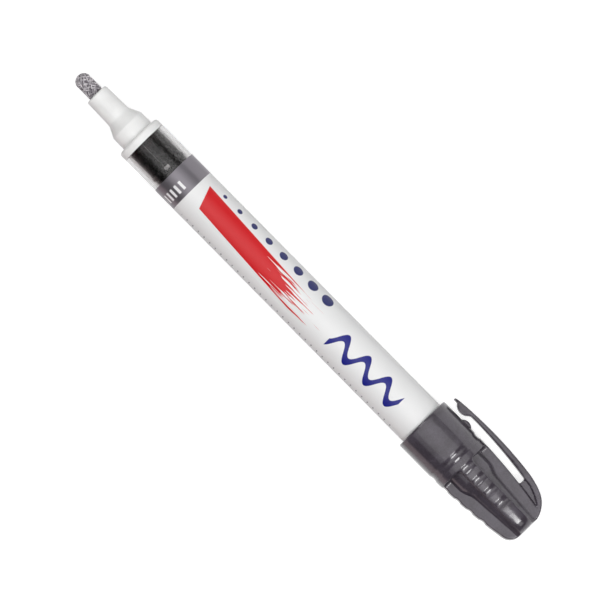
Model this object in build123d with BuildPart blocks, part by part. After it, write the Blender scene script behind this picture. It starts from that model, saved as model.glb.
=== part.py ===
from build123d import *
import os
from math import acos, atan, cos, hypot, pi, sin, sqrt

# A valve-action paint marker that lies on its side with its cap pushed onto the tail.
# Sizes are in millimetres. The marker's axis is X, nib towards -X and cap towards +X, with +Z up.
# The origin is on the axis, in the middle of the bare label, where a hand or a holder grips it.

# Clearances and cuts
running_gap = 0.1  # round a piece that slides in a bore, on the radius
seat_gap = 0.05  # between two seated pieces
film_gap = 0.01  # between the label film and the barrel
overrun = 1.0  # how far a cut runs past what it cuts

# Barrel and label
barrel_r = 6.4
barrel_wall = 0.95
barrel_length = 110.05
barrel_round = 0.3
window_length = 10.45  # bare clear stretch between the nozzle and the label
post_depth = 11.4  # how far the tail stands in the cap
label_film = 0.16

# Nozzle
flange_length = 2.25
flange_round = 0.8
flange_step = 1.6  # from the flange in to the collar, on the radius
collar_length = 3.8
collar_round = 0.5
flare_length = 2.95
flare_round = 1.6
tip_rear_wall = 1.28  # from the nib out to the tip tube's surface
tip_front_wall = 1.11
tip_length = 8.05
tip_round = 0.4
spigot_length = 5.0
spigot_wall = 0.6
well_length = 8.6  # paint well round the back of the nib
feed_width = 0.8  # grooves that lead paint along the nib
feed_depth = 0.45
feed_lip = 1.5  # plain ring left in front of the grooves
feed_count = 3

# Nib
nib_r = 2.04
nib_reach = 6.45  # how far the nib stands out of the nozzle
nib_tail = 3.4  # how far it reaches back behind the nozzle's flange
nib_stroke = 1.5

# Valve housing, a cup round the nozzle's spigot and the spring
housing_share = 0.886  # its radius, as a share of the barrel's bore
housing_wall = 0.9
housing_length = 20.0
housing_round = 0.3
bead_place = 8.2
bead_width = 0.6
bead_height = 0.18
land_place = 12.0  # wider stretch that seals in the barrel
land_length = 4.0
web_thickness = 1.5  # wall with the valve's seat

# Valve seat, seal, stem, spring and retainer; radii are shares of the housing's bore
seat_hole_share = 0.407
seal_share = 0.763
seal_hole_share = 0.433
seal_thickness = 1.0
seal_sink = 0.8  # depth of its pocket in the seat wall
stem_pin_share = 0.28
stem_head_share = 0.662
stem_head_length = 1.4
stem_guide_share = 0.305
spring_share = 0.496  # to the middle of the wire
wire_r = 0.2
spring_turns = 7
retainer_thickness = 2.0
retainer_sink = nib_stroke + running_gap  # how far it lies inside the back of the housing
flow_hole_share = 0.178
flow_hole_count = 4

# Paint and mixing ball
paint_level = 2.0  # height of its surface above the axis
paint_gap = 0.3  # room kept round the liquid and round the ball's path
ball_r = 2.5

# End plug
plug_length = 5.0
plug_flange = 1.0
plug_flange_step = 0.2  # from the barrel's surface in to the flange's rim
plug_wall = 1.6
plug_hollow_depth = 4.0

# Cap: skirt, tapered end with ring grooves, and four arms left between flutes
skirt_wall = 1.35
mouth_round = 0.4
bottom_gap = 0.2  # between the plug and the seal at the bottom of the cap's socket
taper_start = 10.0
taper_drop = 2.45  # how far the taper comes in by the cap's end
end_round = 3.4
end_wall = 2.85
groove_place = 12.0
groove_pitch = 4.13
groove_count = 5
groove_depth = 0.25
groove_round = 2.5
arm_width = 4.0
flute_wall = 1.35  # between the socket and the front of the flutes
flute_round = 1.0
core_front_wall = 0.7  # between the hollow and the floor of the flutes, before its step
core_step_wall = 1.03
core_end_wall = 1.31
core_step_length = 4.4
core_step_lead = 1.0  # the floor starts to step in this far before the hollow's flare ends

# Seal in the cap, a soft washer that the nozzle's flange meets when the marker is shut
cap_seal_thickness = 1.0
hollow_slack = 0.3  # room along the axis that the cap's hollow leaves round the nozzle

# Pocket clip, moulded with the cap
# Places are measured from the cap's mouth, backs from its closed end, rises and drops from the skirt.
clip_tip_place = 1.4
clip_tip_rise = 2.6
clip_tip_thickness = 0.65
clip_crest_place = 13.0
clip_crest_rise = 3.28
clip_bend_back = 9.7
clip_bend_rise = 2.43
clip_shoulder_back = 4.2
clip_shoulder_rise = 0.91
clip_end_drop = 4.25
clip_width = 3.6
clip_flare_back = 16.3  # the clip widens to the width of its arm from here to the bend
slot_place = 7.3  # the open slot under the clip starts here, behind the keel
slot_front_rise = 2.05
slot_end_back = 9.3
slot_end_rise = 0.57
slot_middle_share = 0.5
slot_sag_share = 0.24  # how far the slot's roof has come down by its middle
slot_tip_back = 1.7  # the slot runs out as a blind recess to this point
recess_web = 2.4
keel_place = 2.6
keel_rise = 0.8
hump_place = 6.2
hump_length = 3.8
hump_height = 0.72
hump_width = 3.0

# Radii, from the axis outwards
tip_front_r = nib_r + tip_front_wall
tip_rear_r = nib_r + tip_rear_wall
collar_r = barrel_r - flange_step
bore_r = barrel_r - barrel_wall
housing_r = bore_r * housing_share
housing_bore_r = housing_r - housing_wall
spigot_r = housing_bore_r - seat_gap
seat_hole_r = housing_bore_r * seat_hole_share
seal_r = housing_bore_r * seal_share
seal_hole_r = housing_bore_r * seal_hole_share
stem_pin_r = housing_bore_r * stem_pin_share
stem_head_r = housing_bore_r * stem_head_share
stem_guide_r = housing_bore_r * stem_guide_share
spring_r = housing_bore_r * spring_share
flow_hole_r = housing_bore_r * flow_hole_share
label_r = barrel_r + label_film
socket_r = barrel_r + running_gap
skirt_r = socket_r + skirt_wall
taper_end_r = skirt_r - taper_drop
clip_crest_r = skirt_r + clip_crest_rise
clip_tip_r = skirt_r + clip_tip_rise
slot_front_r = skirt_r + slot_front_rise
slot_end_r = skirt_r + slot_end_rise
hollow_collar_r = collar_r + running_gap
hollow_tip_r = tip_rear_r + running_gap
hollow_nib_r = nib_r + 2 * running_gap

# Places along the axis
grip_length = barrel_length - window_length - post_depth
label_front_x = -grip_length / 2
cap_mouth_x = grip_length / 2
barrel_front_x = label_front_x - window_length
barrel_rear_x = barrel_front_x + barrel_length
flange_front_x = barrel_front_x - flange_length
collar_front_x = flange_front_x - collar_length
flare_front_x = collar_front_x - flare_length
tip_front_x = flare_front_x - tip_length
nib_tip_x = tip_front_x - nib_reach
nib_rear_x = barrel_front_x + nib_tail
spigot_rear_x = barrel_front_x + spigot_length
housing_front_x = barrel_front_x + seat_gap
housing_rear_x = housing_front_x + housing_length
seat_front_x = spigot_rear_x + seat_gap
seat_rear_x = seat_front_x + web_thickness
seal_front_x = seat_rear_x - seal_sink
seal_rear_x = seal_front_x + seal_thickness
head_front_x = seal_rear_x + seat_gap
head_rear_x = head_front_x + stem_head_length
retainer_rear_x = housing_rear_x - retainer_sink
retainer_front_x = retainer_rear_x - retainer_thickness
plug_front_x = barrel_rear_x - plug_length

# Places in the cap, from its mouth: the hollow follows the nozzle that it covers when shut
cap_seal_place = post_depth + plug_flange + bottom_gap
socket_end = cap_seal_place + cap_seal_thickness + seat_gap
collar_end = cap_seal_place + collar_length + hollow_slack
flare_end = collar_end + flare_length
tip_end = flare_end + tip_length
nib_start = tip_end + hollow_tip_r - hollow_nib_r
hollow_end = tip_end + nib_reach + hollow_slack
cap_length = hollow_end + end_wall
flute_place = socket_end + flute_wall
clip_bend_place = cap_length - clip_bend_back
clip_flare_place = cap_length - clip_flare_back
clip_shoulder_place = cap_length - clip_shoulder_back
slot_end_place = cap_length - slot_end_back
slot_tip_place = cap_length - slot_tip_back

# The marker rolls until its clip meets the table beside the skirt.
# The clip then points this far round from straight down, towards +Y.
clip_turn = acos(skirt_r / hypot(clip_crest_r, clip_width / 2)) + atan(clip_width / 2 / clip_crest_r)
clip_direction = (0, sin(clip_turn), -cos(clip_turn))
side_direction = (0, cos(clip_turn), sin(clip_turn))


def named(piece, label):
    """Labels a finished piece and writes it."""
    piece.part.label = label
    export_step(piece.part, f"parts/{label}.step")


def round_corner(section, point, radius):
    """Rounds the corner of a section that lies at this point."""
    fillet(section.vertices().sort_by_distance(point)[0], radius)


os.makedirs("parts", exist_ok=True)

# Nib: a felt rod with a round end
with BuildPart() as nib:
    with BuildSketch(Plane.XZ):
        with BuildLine():
            dome = RadiusArc((nib_tip_x, 0), (nib_tip_x + nib_r, nib_r), nib_r)
            Polyline(dome @ 1, (nib_rear_x, nib_r), (nib_rear_x, 0), dome @ 0)
        make_face()
    revolve(axis=Axis.X)
named(nib, "nib")

# Nozzle: tip tube, flare, collar, flange and a spigot that plugs into the valve housing
nib_bore_r = nib_r + running_gap
with BuildPart() as nozzle:
    with BuildSketch(Plane.XZ) as nozzle_section:
        with BuildLine():
            Polyline(
                (tip_front_x, 0),
                (tip_front_x, tip_front_r),
                (flare_front_x, tip_rear_r),
                (collar_front_x, collar_r),
                (flange_front_x, collar_r),
                (flange_front_x, barrel_r),
                (barrel_front_x, barrel_r),
                (barrel_front_x, spigot_r),
                (spigot_rear_x, spigot_r),
                (spigot_rear_x, 0),
                close=True,
            )
        make_face()
        round_corner(nozzle_section, (tip_front_x, tip_front_r), tip_round)
        round_corner(nozzle_section, (flare_front_x, tip_rear_r), flare_round)
        round_corner(nozzle_section, (collar_front_x, collar_r), collar_round)
        round_corner(nozzle_section, (flange_front_x, barrel_r), flange_round)
    revolve(axis=Axis.X)
    with BuildSketch(Plane.YZ.offset(tip_front_x)):
        Circle(nib_bore_r)
    extrude(amount=spigot_rear_x - tip_front_x, mode=Mode.SUBTRACT)
    with BuildSketch(Plane.YZ.offset(spigot_rear_x)):
        Circle(spigot_r - spigot_wall)
    extrude(amount=-well_length, mode=Mode.SUBTRACT)
    with BuildSketch(Plane.YZ.offset(tip_front_x + feed_lip)):
        with PolarLocations(nib_bore_r, feed_count):
            Rectangle(2 * feed_depth, feed_width)
    extrude(amount=spigot_rear_x - well_length - tip_front_x - feed_lip, mode=Mode.SUBTRACT)
named(nozzle, "nozzle")

# Valve housing: a black cup with a ring bead, a sealing land and the wall of the valve's seat
with BuildPart() as valve_housing:
    with BuildSketch(Plane.XZ) as housing_section:
        with BuildLine():
            bead_x = housing_front_x + bead_place
            land_x = housing_front_x + land_place
            land_r = bore_r - seat_gap
            Polyline(
                (housing_front_x, 0),
                (housing_front_x, housing_r),
                (bead_x, housing_r),
                (bead_x, housing_r + bead_height),
                (bead_x + bead_width, housing_r + bead_height),
                (bead_x + bead_width, housing_r),
                (land_x, housing_r),
                (land_x, land_r),
                (land_x + land_length, land_r),
                (land_x + land_length, housing_r),
                (housing_rear_x, housing_r),
                (housing_rear_x, 0),
                close=True,
            )
        make_face()
        round_corner(housing_section, (land_x, land_r), housing_round)
        round_corner(housing_section, (housing_rear_x, housing_r), housing_round)
    revolve(axis=Axis.X)
    with BuildSketch(Plane.YZ.offset(housing_front_x)):
        Circle(housing_bore_r)
    extrude(amount=seat_front_x - housing_front_x, mode=Mode.SUBTRACT)
    with BuildSketch(Plane.YZ.offset(seat_rear_x)):
        Circle(housing_bore_r)
    extrude(amount=housing_rear_x - seat_rear_x, mode=Mode.SUBTRACT)
    with BuildSketch(Plane.YZ.offset(seal_front_x)):
        Circle(seal_r + seat_gap)
    extrude(amount=seal_sink, mode=Mode.SUBTRACT)
    with BuildSketch(Plane.YZ.offset(seat_front_x)):
        Circle(seat_hole_r)
    extrude(amount=web_thickness, mode=Mode.SUBTRACT)
named(valve_housing, "valve_housing")

# Valve seal: a rubber ring in the pocket of the seat
with BuildPart() as valve_seal:
    with BuildSketch(Plane.YZ.offset(seal_front_x)):
        Circle(seal_r)
        Circle(seal_hole_r, mode=Mode.SUBTRACT)
    extrude(amount=seal_thickness)
named(valve_seal, "valve_seal")

# Valve stem: pin behind the nib, head that shuts on the seal, guide that runs in the retainer
with BuildPart() as valve_stem:
    with BuildSketch(Plane.XZ):
        with BuildLine():
            Polyline(
                (nib_rear_x, 0),
                (nib_rear_x, stem_pin_r),
                (head_front_x, stem_pin_r),
                (head_front_x, stem_head_r),
                (head_rear_x, stem_head_r),
                (head_rear_x, stem_guide_r),
                (retainer_rear_x, stem_guide_r),
                (retainer_rear_x, 0),
                close=True,
            )
        make_face()
    revolve(axis=Axis.X)
named(valve_stem, "valve_stem")

# Valve spring: one wire wound in quarter turns, each a pair of arcs that meet without a kink
spring_front_x = head_rear_x + seat_gap + wire_r
spring_rear_x = retainer_front_x - seat_gap - wire_r
spring_pitch = (spring_rear_x - spring_front_x) / spring_turns
quarter_turns = 4


def wire_point(quarter):
    """The middle of the wire after this many quarter turns."""
    turn = 2 * pi * quarter / quarter_turns
    along = spring_front_x + spring_pitch * quarter / quarter_turns
    return Vector(along, spring_r * cos(turn), spring_r * sin(turn))


def wire_heading(quarter):
    """The way the wire runs there."""
    turn = 2 * pi * quarter / quarter_turns
    rise = spring_pitch / (2 * pi)
    return Vector(rise, -spring_r * sin(turn), spring_r * cos(turn)).normalized()


with BuildPart() as valve_spring:
    with BuildLine() as wire_path:
        for quarter in range(spring_turns * quarter_turns):
            start, finish = wire_point(quarter), wire_point(quarter + 1)
            leave, arrive = wire_heading(quarter), wire_heading(quarter + 1)
            chord = finish - start
            lean = chord.dot(leave + arrive)
            bend = 2 * (1 - leave.dot(arrive))
            reach = (sqrt(lean * lean + bend * chord.dot(chord)) - lean) / bend
            middle = (start + leave * reach + finish - arrive * reach) / 2
            half = TangentArc(start, middle, tangent=leave)
            TangentArc(middle, finish, tangent=half % 1)
    with BuildSketch(Plane(origin=wire_point(0), z_dir=wire_heading(0))):
        Circle(wire_r)
    sweep(path=wire_path.wire())
named(valve_spring, "valve_spring")

# Spring retainer: a disc with a guide hole for the stem and holes that let the paint in
retainer_r = housing_bore_r - seat_gap
guide_hole_r = stem_guide_r + running_gap
with BuildPart() as spring_retainer:
    with BuildSketch(Plane.YZ.offset(retainer_front_x)):
        Circle(retainer_r)
        Circle(guide_hole_r, mode=Mode.SUBTRACT)
        with PolarLocations((retainer_r + guide_hole_r) / 2, flow_hole_count):
            Circle(flow_hole_r, mode=Mode.SUBTRACT)
    extrude(amount=retainer_thickness)
named(spring_retainer, "spring_retainer")

# Barrel: a clear tube
with BuildPart() as barrel:
    with BuildSketch(Plane.YZ.offset(barrel_front_x)):
        Circle(barrel_r)
        Circle(bore_r, mode=Mode.SUBTRACT)
    extrude(amount=barrel_length)
    rear_rims = barrel.edges().group_by(Axis.X)[-1]
    fillet(rear_rims.sort_by(SortBy.RADIUS)[-1], barrel_round)
named(barrel, "barrel")

# Label: a printed film round the barrel
with BuildPart() as label:
    with BuildSketch(Plane.YZ.offset(label_front_x)):
        Circle(label_r)
        Circle(barrel_r + film_gap, mode=Mode.SUBTRACT)
    extrude(amount=grip_length - seat_gap)
named(label, "label")

# Mixing ball: lies on the bottom of the bore, half way along the paint
chamber_front_x = housing_rear_x + paint_gap
ball_x = (chamber_front_x + plug_front_x) / 2
ball_z = -(bore_r - ball_r - seat_gap)
with BuildPart() as mixing_ball:
    with Locations((ball_x, 0, ball_z)):
        Sphere(ball_r)
named(mixing_ball, "mixing_ball")

# Paint: the liquid under its level surface, with the ball's path left open along the bottom
with BuildPart() as paint:
    with BuildSketch(Plane.YZ.offset(chamber_front_x)):
        Circle(bore_r - seat_gap)
        with Locations((0, paint_level)):
            Rectangle(2 * bore_r, bore_r, align=(Align.CENTER, Align.MIN), mode=Mode.SUBTRACT)
        with Locations((0, ball_z)):
            Circle(ball_r + paint_gap, mode=Mode.SUBTRACT)
    extrude(amount=plug_front_x - paint_gap - chamber_front_x)
named(paint, "paint")

# End plug: a hollow plug in the tail of the barrel
plug_r = bore_r - seat_gap
with BuildPart() as end_plug:
    with BuildSketch(Plane.YZ.offset(plug_front_x)):
        Circle(plug_r)
    extrude(amount=plug_length)
    with BuildSketch(Plane.YZ.offset(barrel_rear_x)):
        Circle(barrel_r - plug_flange_step)
    extrude(amount=plug_flange)
    with BuildSketch(Plane.YZ.offset(barrel_rear_x + plug_flange)):
        Circle(plug_r - plug_wall)
    extrude(amount=-plug_hollow_depth, mode=Mode.SUBTRACT)
named(end_plug, "end_plug")

# Cap seal: a soft washer at the bottom of the cap's socket
with BuildPart() as cap_seal:
    with BuildSketch(Plane.YZ.offset(cap_mouth_x + cap_seal_place)):
        Circle(socket_r - seat_gap)
        Circle(hollow_collar_r, mode=Mode.SUBTRACT)
    extrude(amount=cap_seal_thickness)
named(cap_seal, "cap_seal")

# The cap is drawn on this plane: along it from the mouth, and out towards the clip.
cap_plane = Plane(origin=(cap_mouth_x, 0, 0), x_dir=(1, 0, 0), z_dir=side_direction)


def cross_plane(place):
    """A plane across the cap at this distance from its mouth, its own x towards the clip."""
    return Plane(origin=(cap_mouth_x + place, 0, 0), x_dir=clip_direction, z_dir=(1, 0, 0))


def taper_r(place):
    """Outer radius of the cap at this distance from its mouth."""
    run = cap_length - taper_start
    arc_r = (run * run + taper_drop * taper_drop) / (2 * taper_drop)
    past = max(place - taper_start, 0)
    return skirt_r - arc_r + sqrt(arc_r * arc_r - past * past)


# Flute cutter: four corner bars round the core, which leave a cross of four arms
arm_half = arm_width / 2
with BuildPart() as flutes:
    with BuildSketch(cross_plane(flute_place)):
        corner = arm_half + skirt_r / 2
        with GridLocations(2 * corner, 2 * corner, 2, 2):
            Rectangle(skirt_r, skirt_r)
    extrude(amount=cap_length - flute_place + overrun)
    fillet(flutes.faces().group_by(Axis.X)[0].edges(), flute_round)
    with BuildSketch(cap_plane):
        with BuildLine():
            core_front_r = hollow_collar_r + core_front_wall
            core_step_r = hollow_tip_r + core_step_wall
            core_end_r = hollow_nib_r + core_end_wall
            step_start = flare_end - core_step_lead
            step_end = step_start + core_step_length
            floor_front = Line((flute_place - overrun, core_front_r), (step_start, core_front_r))
            floor_step = Bezier(
                floor_front @ 1,
                (step_start + core_step_length / 3, core_front_r),
                (step_end - core_step_length / 3, core_step_r),
                (step_end, core_step_r),
            )
            Polyline(
                floor_step @ 1,
                (cap_length, core_end_r),
                (cap_length + 2 * overrun, core_end_r),
                (cap_length + 2 * overrun, 0),
                (flute_place - overrun, 0),
                floor_front @ 0,
            )
        make_face()
    revolve(axis=Axis.X, mode=Mode.SUBTRACT)


def groove_middle(ring):
    """Middle of the round that cuts this ring groove, counted from the mouth."""
    place = groove_place + groove_pitch * ring
    return place, taper_r(place) + groove_round - groove_depth


# Groove cutter: the rings behind the first one, which stop at the clip's arm
with BuildPart() as grooves:
    for ring in range(1, groove_count):
        with BuildSketch(cap_plane):
            with Locations(groove_middle(ring)):
                Circle(groove_round)
        revolve(axis=Axis.X)
    with BuildSketch(cross_plane(groove_place)):
        Rectangle(clip_crest_r, arm_width + 2 * overrun, align=(Align.MIN, Align.CENTER))
    extrude(amount=cap_length, mode=Mode.SUBTRACT)

# Clip blank: its side view, cut to a plan that narrows to a round tip
with BuildPart() as clip:
    with BuildSketch(cap_plane):
        with BuildLine():
            back = ThreePointArc(
                (clip_tip_place, clip_tip_r),
                (clip_crest_place, clip_crest_r),
                (clip_bend_place, skirt_r + clip_bend_rise),
            )
            shoulder = (clip_shoulder_place, skirt_r + clip_shoulder_rise)
            bend = TangentArc(back @ 1, shoulder, tangent=back % 1)
            heel = TangentArc(bend @ 1, (cap_length, skirt_r - clip_end_drop), tangent=bend % 1)
            slot_tip = (slot_tip_place, taper_end_r)
            root = Polyline(heel @ 1, (cap_length, 0), (slot_tip_place, 0), slot_tip)
            recess_middle = ((slot_end_place + slot_tip_place) / 2, slot_end_r)
            recess = Bezier(root @ 1, recess_middle, (slot_end_place, slot_end_r))
            slot_middle = (
                slot_place + (slot_end_place - slot_place) * slot_middle_share,
                slot_front_r + (slot_end_r - slot_front_r) * slot_sag_share,
            )
            under = ThreePointArc(recess @ 1, slot_middle, (slot_place, slot_front_r))
            keel_middle = (keel_place + slot_place) / 2
            keel_bottom = (keel_middle, skirt_r + keel_rise)
            keel = ThreePointArc(under @ 1, keel_bottom, (keel_place, slot_front_r))
            Polyline(keel @ 1, (clip_tip_place, clip_tip_r - clip_tip_thickness), back @ 0)
        make_face()
    extrude(amount=arm_half, both=True)
    with BuildSketch(Plane(origin=(cap_mouth_x, 0, 0), x_dir=(1, 0, 0), z_dir=clip_direction)):
        with BuildLine():
            tip_half = clip_width / 2
            tip_round_end = clip_tip_place + tip_half
            nose_side = (tip_round_end, tip_half)
            nose = ThreePointArc((tip_round_end, -tip_half), (clip_tip_place, 0), nose_side)
            Polyline(
                nose @ 1,
                (clip_flare_place, tip_half),
                (clip_bend_place, arm_half),
                (cap_length + overrun, arm_half),
                (cap_length + overrun, -arm_half),
                (clip_bend_place, -arm_half),
                (clip_flare_place, -tip_half),
                nose @ 0,
            )
        make_face()
    extrude(amount=clip_crest_r + overrun, mode=Mode.INTERSECT)

# Cap: a turned blank, ringed and fluted, with the clip, its web and the hump under its tip
with BuildPart() as cap:
    with BuildSketch(cap_plane) as cap_section:
        with BuildLine():
            skirt = Polyline((0, 0), (0, skirt_r), (taper_start, skirt_r))
            taper = TangentArc(skirt @ 1, (cap_length, taper_end_r), tangent=(1, 0))
            Polyline(taper @ 1, (cap_length, 0), (0, 0))
        make_face()
        round_corner(cap_section, (0, skirt_r), mouth_round)
        round_corner(cap_section, (cap_length, taper_end_r), end_round)
        with Locations(groove_middle(0)):
            Circle(groove_round, mode=Mode.SUBTRACT)
    revolve(axis=Axis.X)
    add(grooves.part, mode=Mode.SUBTRACT)
    add(flutes.part, mode=Mode.SUBTRACT)
    add(clip.part)
    with BuildSketch(cap_plane):
        with BuildLine():
            Polyline(
                (slot_end_place, taper_r(slot_end_place) - overrun),
                (slot_end_place, slot_end_r),
                (clip_shoulder_place, slot_end_r),
                (slot_tip_place + overrun, taper_end_r),
                (slot_tip_place, taper_end_r - overrun),
                close=True,
            )
        make_face()
    extrude(amount=recess_web / 2, both=True)
    with BuildSketch(cap_plane):
        with BuildLine():
            hump_end = hump_place + hump_length
            hump_foot = skirt_r - hump_height
            hump_top = (hump_place + hump_length / 2, skirt_r + hump_height)
            hump = ThreePointArc((hump_place, hump_foot), hump_top, (hump_end, hump_foot))
            Line(hump @ 1, hump @ 0)
        make_face()
    extrude(amount=hump_width / 2, both=True)
    with BuildSketch(Plane.YZ.offset(cap_mouth_x)):
        Circle(socket_r)
    extrude(amount=socket_end, mode=Mode.SUBTRACT)
    with BuildSketch(cap_plane):
        with BuildLine():
            Polyline(
                (cap_seal_place, 0),
                (cap_seal_place, hollow_collar_r),
                (collar_end, hollow_collar_r),
                (flare_end, hollow_tip_r),
                (tip_end, hollow_tip_r),
                (nib_start, hollow_nib_r),
                (hollow_end, hollow_nib_r),
                (hollow_end, 0),
                close=True,
            )
        make_face()
    revolve(axis=Axis.X, mode=Mode.SUBTRACT)
named(cap, "cap")
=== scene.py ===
# %% [markdown]
# # A paint marker
# The marker lies on a white floor with its cap pushed onto the tail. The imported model
# gives every piece its size and place, and this lesson dresses those pieces: soft
# moulded edges, felt fibres, clear plastic and a printed film. It starts by loading
# the frame, because everything after it is measured from there.

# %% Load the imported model
import math

import bmesh
import bpy
from mathutils import Matrix, Vector


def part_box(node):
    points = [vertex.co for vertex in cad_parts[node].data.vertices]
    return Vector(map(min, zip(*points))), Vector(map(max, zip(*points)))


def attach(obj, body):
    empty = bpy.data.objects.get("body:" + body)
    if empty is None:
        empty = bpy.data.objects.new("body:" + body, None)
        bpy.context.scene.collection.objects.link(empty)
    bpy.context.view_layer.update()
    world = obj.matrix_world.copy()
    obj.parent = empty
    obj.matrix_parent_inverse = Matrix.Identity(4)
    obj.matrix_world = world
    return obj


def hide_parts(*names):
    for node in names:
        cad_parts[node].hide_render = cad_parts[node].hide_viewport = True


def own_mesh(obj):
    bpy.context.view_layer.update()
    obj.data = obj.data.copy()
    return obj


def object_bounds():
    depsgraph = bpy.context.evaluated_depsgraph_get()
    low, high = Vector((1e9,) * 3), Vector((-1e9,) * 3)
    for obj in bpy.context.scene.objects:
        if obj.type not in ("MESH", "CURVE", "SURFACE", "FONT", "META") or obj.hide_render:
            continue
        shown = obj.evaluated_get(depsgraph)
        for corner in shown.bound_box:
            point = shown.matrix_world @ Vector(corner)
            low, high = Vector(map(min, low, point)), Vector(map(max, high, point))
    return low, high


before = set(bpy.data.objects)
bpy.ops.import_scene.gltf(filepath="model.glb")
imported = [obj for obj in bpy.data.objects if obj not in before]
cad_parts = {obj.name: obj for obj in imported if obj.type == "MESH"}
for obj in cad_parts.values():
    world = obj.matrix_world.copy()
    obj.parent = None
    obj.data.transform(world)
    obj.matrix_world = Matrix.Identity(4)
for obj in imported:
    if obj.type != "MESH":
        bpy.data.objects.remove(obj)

mm = 0.001
cad_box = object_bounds()
print("CAD box in mm", [[round(v / mm, 2) for v in corner] for corner in cad_box])

# %% [markdown]
# ## Camera
# The marker's axis is the X axis. The photograph looks down on it from the +Y side, and
# the marker slopes across the picture, so the camera is turned about its line of sight.
# A very long lens keeps round edges such as the cap's mouth nearly straight, as they are
# in the photograph, and the line of sight leans a little towards the cap.

# %% Camera
axis = Vector((1, 0, 0))
camera_height = math.radians(59.06)
to_camera = Vector((0, math.cos(camera_height), math.sin(camera_height)))
clip_side = Vector((0, math.sin(camera_height), -math.cos(camera_height)))
marker_slope = math.radians(45.33)
lean = 0.02
sight = (to_camera + lean * axis).normalized()
marker_line = (axis - lean * to_camera).normalized()
picture_right = math.cos(marker_slope) * marker_line + math.sin(marker_slope) * clip_side
picture_up = math.cos(marker_slope) * clip_side - math.sin(marker_slope) * marker_line
picture_width = 151.25 * mm
picture_middle = 1.72 * mm * axis + 0.04 * mm * clip_side

lens = bpy.data.cameras.new("photo_camera")
lens.lens = 600
distance = picture_width * lens.lens / lens.sensor_width
camera = bpy.data.objects.new("photo_camera", lens)
turned = Matrix((picture_right, picture_up, sight)).transposed().to_4x4()
camera.matrix_world = Matrix.Translation(picture_middle + distance * sight) @ turned
bpy.context.scene.collection.objects.link(camera)
bpy.context.scene.camera = camera
bpy.context.scene.view_settings.view_transform = "Standard"
print("camera stands", round(distance, 3), "m from the marker")

# %% [markdown]
# ## Colours and nodes
# Colours are written as sRGB hex values, the way a colour picker shows them, and one
# function turns them to the linear values that shaders use. Another adds a node, sets
# it up and links it. The others start a finish, which is a material with its main
# shader, link its sockets, and put finishes on a mesh.

# %% Helpers for materials
MATH = "ShaderNodeMath"
NOISE = "ShaderNodeTexNoise"
RANGE = "ShaderNodeMapRange"
RAMP = "ShaderNodeValToRGB"
MIX = "ShaderNodeMix"
BUMP = "ShaderNodeBump"
PLACE = "ShaderNodeTexCoord"


def linear(code):
    parts = [int(code[i:i + 2], 16) / 255 for i in (1, 3, 5)]
    parts = [p / 12.92 if p <= 0.04045 else ((p + 0.055) / 1.055) ** 2.4 for p in parts]
    return (*parts, 1.0)


def add(tree, kind, *values, sockets={}, tones=(), stops=(0.35, 0.65), **settings):
    """A node with its settings and links. Values fill its sockets in order, sockets by
    name or number, and tones are a ramp's two colours, which lie at its stops."""
    node = tree.nodes.new(kind)
    for name, value in settings.items():
        setattr(node, name, value)
    for mark, place, code in zip(node.color_ramp.elements if tones else (), stops, tones):
        mark.position, mark.color = place, linear(code)
    for name, value in [*enumerate(values), *sockets.items()]:
        if isinstance(value, bpy.types.Node):
            value = value.outputs[0]
        if isinstance(value, bpy.types.NodeSocket):
            tree.links.new(value, node.inputs[name])
        elif value is not None:
            node.inputs[name].default_value = value
    return node


def finish(name, **sockets):
    """A new material, its node tree and its shader with the given sockets set."""
    material = bpy.data.materials.new(name)
    material.use_nodes = True
    shader = material.node_tree.nodes["Principled BSDF"]
    for socket, value in sockets.items():
        shader.inputs[socket.replace("_", " ")].default_value = value
    return material, material.node_tree, shader


def wire(tree, shader, **links):
    """Links nodes, or sockets of nodes, to the shader's sockets."""
    for socket, source in links.items():
        source = source.outputs[0] if isinstance(source, bpy.types.Node) else source
        tree.links.new(source, shader.inputs[socket.replace("_", " ")])


def dress(mesh, *materials):
    mesh.materials.clear()
    for material in materials:
        mesh.materials.append(material)


# %% [markdown]
# ## Floor
# This is a studio picture on white. More light would whiten the floor, but it would bleach
# the marker too. So the floor is pale matt paper that glows a little for the camera, and
# for what mirrors or looks through to it, and the marker's shadow stays. The glow fades
# far out, where only low views see it.

# %% Floor and sky
floor_half = 2.5
floor_z = cad_box[0].z
glow_near, glow_far, glow_strength = 0.13, 4.0, 0.78
floor_mesh = bpy.data.meshes.new("floor")
floor_corners = [(-1, -1), (1, -1), (1, 1), (-1, 1)]
floor_points = [(floor_half * x, floor_half * y, floor_z) for x, y in floor_corners]
floor_mesh.from_pydata(floor_points, [], [(0, 1, 2, 3)])
floor = bpy.data.objects.new("floor", floor_mesh)
bpy.context.scene.collection.objects.link(floor)

# Uncoated paper: matt, so that it shows a shadow and no gloss.
paper, tree, shader = finish("matt_white_paper", Base_Color=linear("#b6b6b6"), Roughness=0.9,
                             Specular_IOR_Level=0.1, Emission_Color=linear("#ffffff"))
rays = add(tree, "ShaderNodeLightPath").outputs
seen = add(tree, MATH, rays["Is Camera Ray"], rays["Is Glossy Ray"], operation="MAXIMUM")
seen = add(tree, MATH, seen, rays["Is Transmission Ray"], operation="MAXIMUM")
place = add(tree, PLACE).outputs["Object"]
away = add(tree, "ShaderNodeVectorMath", place, operation="LENGTH").outputs["Value"]
pool = add(tree, RANGE, away, glow_near, glow_far, glow_strength, 0.0)
wire(tree, shader, Emission_Strength=add(tree, MATH, seen, pool, operation="MULTIPLY"))
dress(floor_mesh, paper)

world = bpy.data.worlds.new("studio")
world.use_nodes = True
bpy.context.scene.world = world
sky = world.node_tree.nodes["Background"]
sky.inputs["Color"].default_value = linear("#ffffff")
sky.inputs["Strength"].default_value = 0.05
print("floor at", round(floor_z / mm, 2), "mm")

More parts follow.
